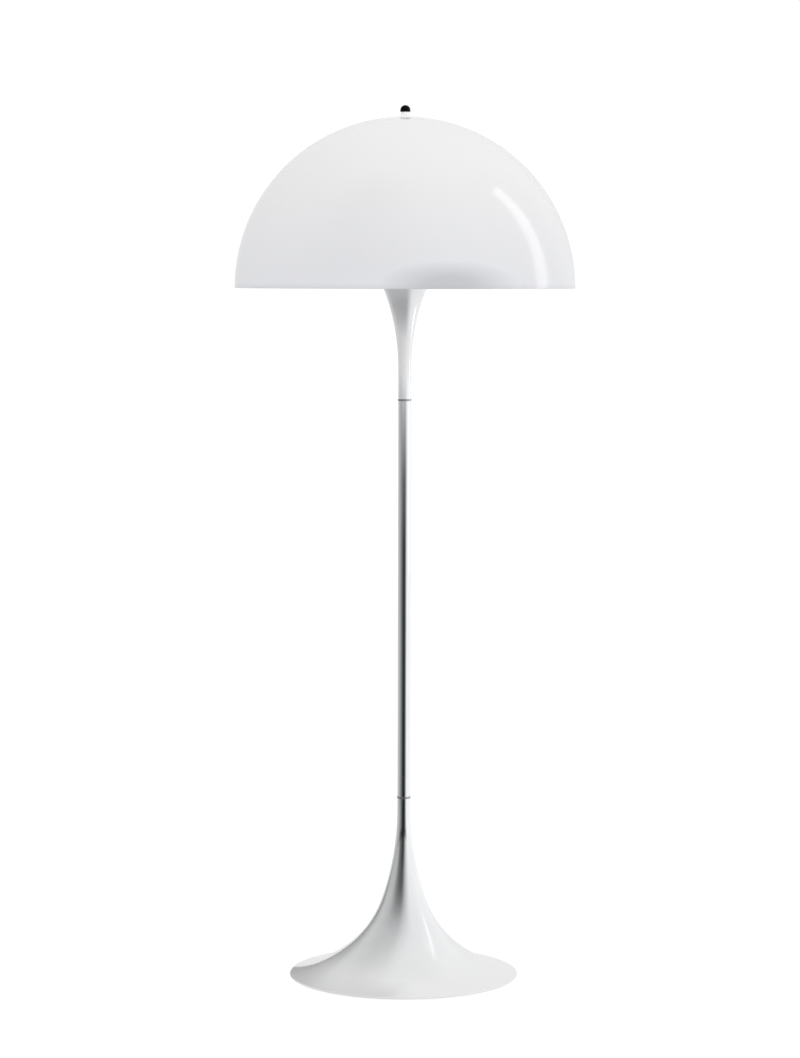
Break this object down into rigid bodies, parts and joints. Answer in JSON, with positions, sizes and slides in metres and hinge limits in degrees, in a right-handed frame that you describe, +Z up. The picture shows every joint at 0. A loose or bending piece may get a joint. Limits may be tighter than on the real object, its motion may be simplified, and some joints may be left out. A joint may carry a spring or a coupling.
{
  "type": "mushroom floor lamp",
  "caption": "Floor lamp with a half-globe opal shade over a small trumpet, a polished tube, a trumpet foot and a rotary switch knob on the crown.",
  "frame": {"origin": "on the floor under the middle of the stem, at the centre of the bottom of the bounding box", "axes": "+Z up along the stem; -Y is the front, and the cord leaves the foot at +Y"},
  "size_m": [0.4999, 0.5, 1.29],
  "materials": {
    "opal_acrylic": "gloss, opal",
    "white_gloss": "gloss",
    "polished_tube": "polished",
    "satin_ring": "satin",
    "black_knob": "gloss",
    "zinc_steel": "zinc plated",
    "pressed_steel": "white lacquer, satin",
    "iron": "as cast",
    "black_plate": "satin",
    "black_rubber": "matt",
    "pale_rubber": "matt",
    "nylon": "matt",
    "lead_sheath": "matt",
    "holder_plastic": "matt",
    "cap_metal": "rolled thread",
    "opal_glass": "opal",
    "switch_plastic": "matt",
    "brass_shaft": "turned"
  },
  "bodies": {
    "stand": {"shade": "opal_acrylic", "foot_shell": "white_gloss", "head_shell": "white_gloss", "collar_nut": "white_gloss", "stem_tube": "polished_tube", "lower_ring": "satin_ring", "upper_ring": "satin_ring", "rod_washer": "zinc_steel", "rod_nut": "zinc_steel", "tie_rod": "zinc_steel", "rod_coupler": "zinc_steel", "support_rod": "zinc_steel", "support_nuts": "zinc_steel", "holder_nuts": "zinc_steel", "seat_screws": "zinc_steel", "plate_screws": "zinc_steel", "foot_sleeve": "zinc_steel", "head_sleeve": "zinc_steel", "cluster_plate": "pressed_steel", "switch_housing": "pressed_steel", "shade_seat": "pressed_steel", "ballast_weight": "iron", "base_plate": "black_plate", "floor_pad": "black_rubber", "cord_bushing": "pale_rubber", "shade_gasket": "pale_rubber", "terminal_block": "nylon", "supply_lead": "lead_sheath", "holder_leads": "lead_sheath", "switch_lead": "lead_sheath", "lampholder_1": "holder_plastic", "lampholder_2": "holder_plastic", "lampholder_3": "holder_plastic", "bulb_cap_1": "cap_metal", "bulb_cap_2": "cap_metal", "bulb_cap_3": "cap_metal", "bulb_glass_1": "opal_glass", "bulb_glass_2": "opal_glass", "bulb_glass_3": "opal_glass", "switch_body": "switch_plastic"},
    "switch_knob": {"knob": "black_knob", "switch_shaft": "brass_shaft"}
  },
  "joints": [
    {"name": "switch_turn", "type": "hinge", "parent": "stand", "child": "switch_knob", "pos_m": [0, 0, 1.2802], "axis": [0, 0, -1], "range_deg": [0, 270]}
  ]
}
